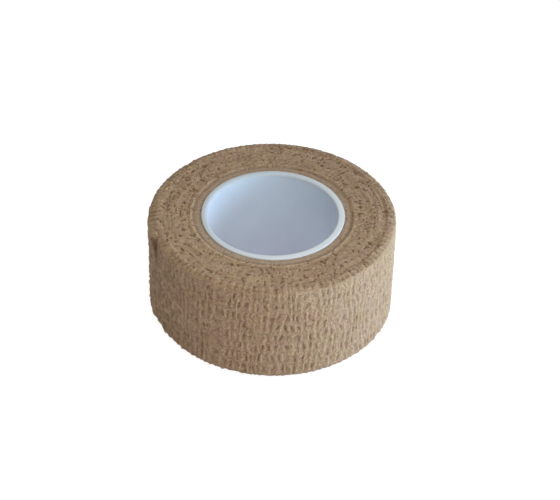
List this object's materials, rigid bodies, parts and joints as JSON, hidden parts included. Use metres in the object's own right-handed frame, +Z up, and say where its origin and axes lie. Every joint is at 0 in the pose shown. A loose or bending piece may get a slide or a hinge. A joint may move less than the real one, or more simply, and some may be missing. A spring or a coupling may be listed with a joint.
{
  "type": "cohesive bandage roll",
  "caption": "Cohesive bandage roll: a crinkled stretch cloth strip wound round a short smooth plastic tube, standing on its flat side.",
  "frame": {"origin": "centre of the tube's foot, on the surface that the roll stands on", "axes": "+Z up along the tube's axis; the cut end of the outermost turn is 200 degrees round from +X towards +Y, front left for a viewer who looks along +Y"},
  "size_m": [0.0566, 0.0562, 0.025],
  "materials": {
    "core_plastic": "smooth moulded, slightly glossy",
    "bandage_cloth": "crinkled non-woven, matt"
  },
  "bodies": {
    "root": {"core_tube": "core_plastic", "bandage_roll": "bandage_cloth"}
  },
  "joints": []
}
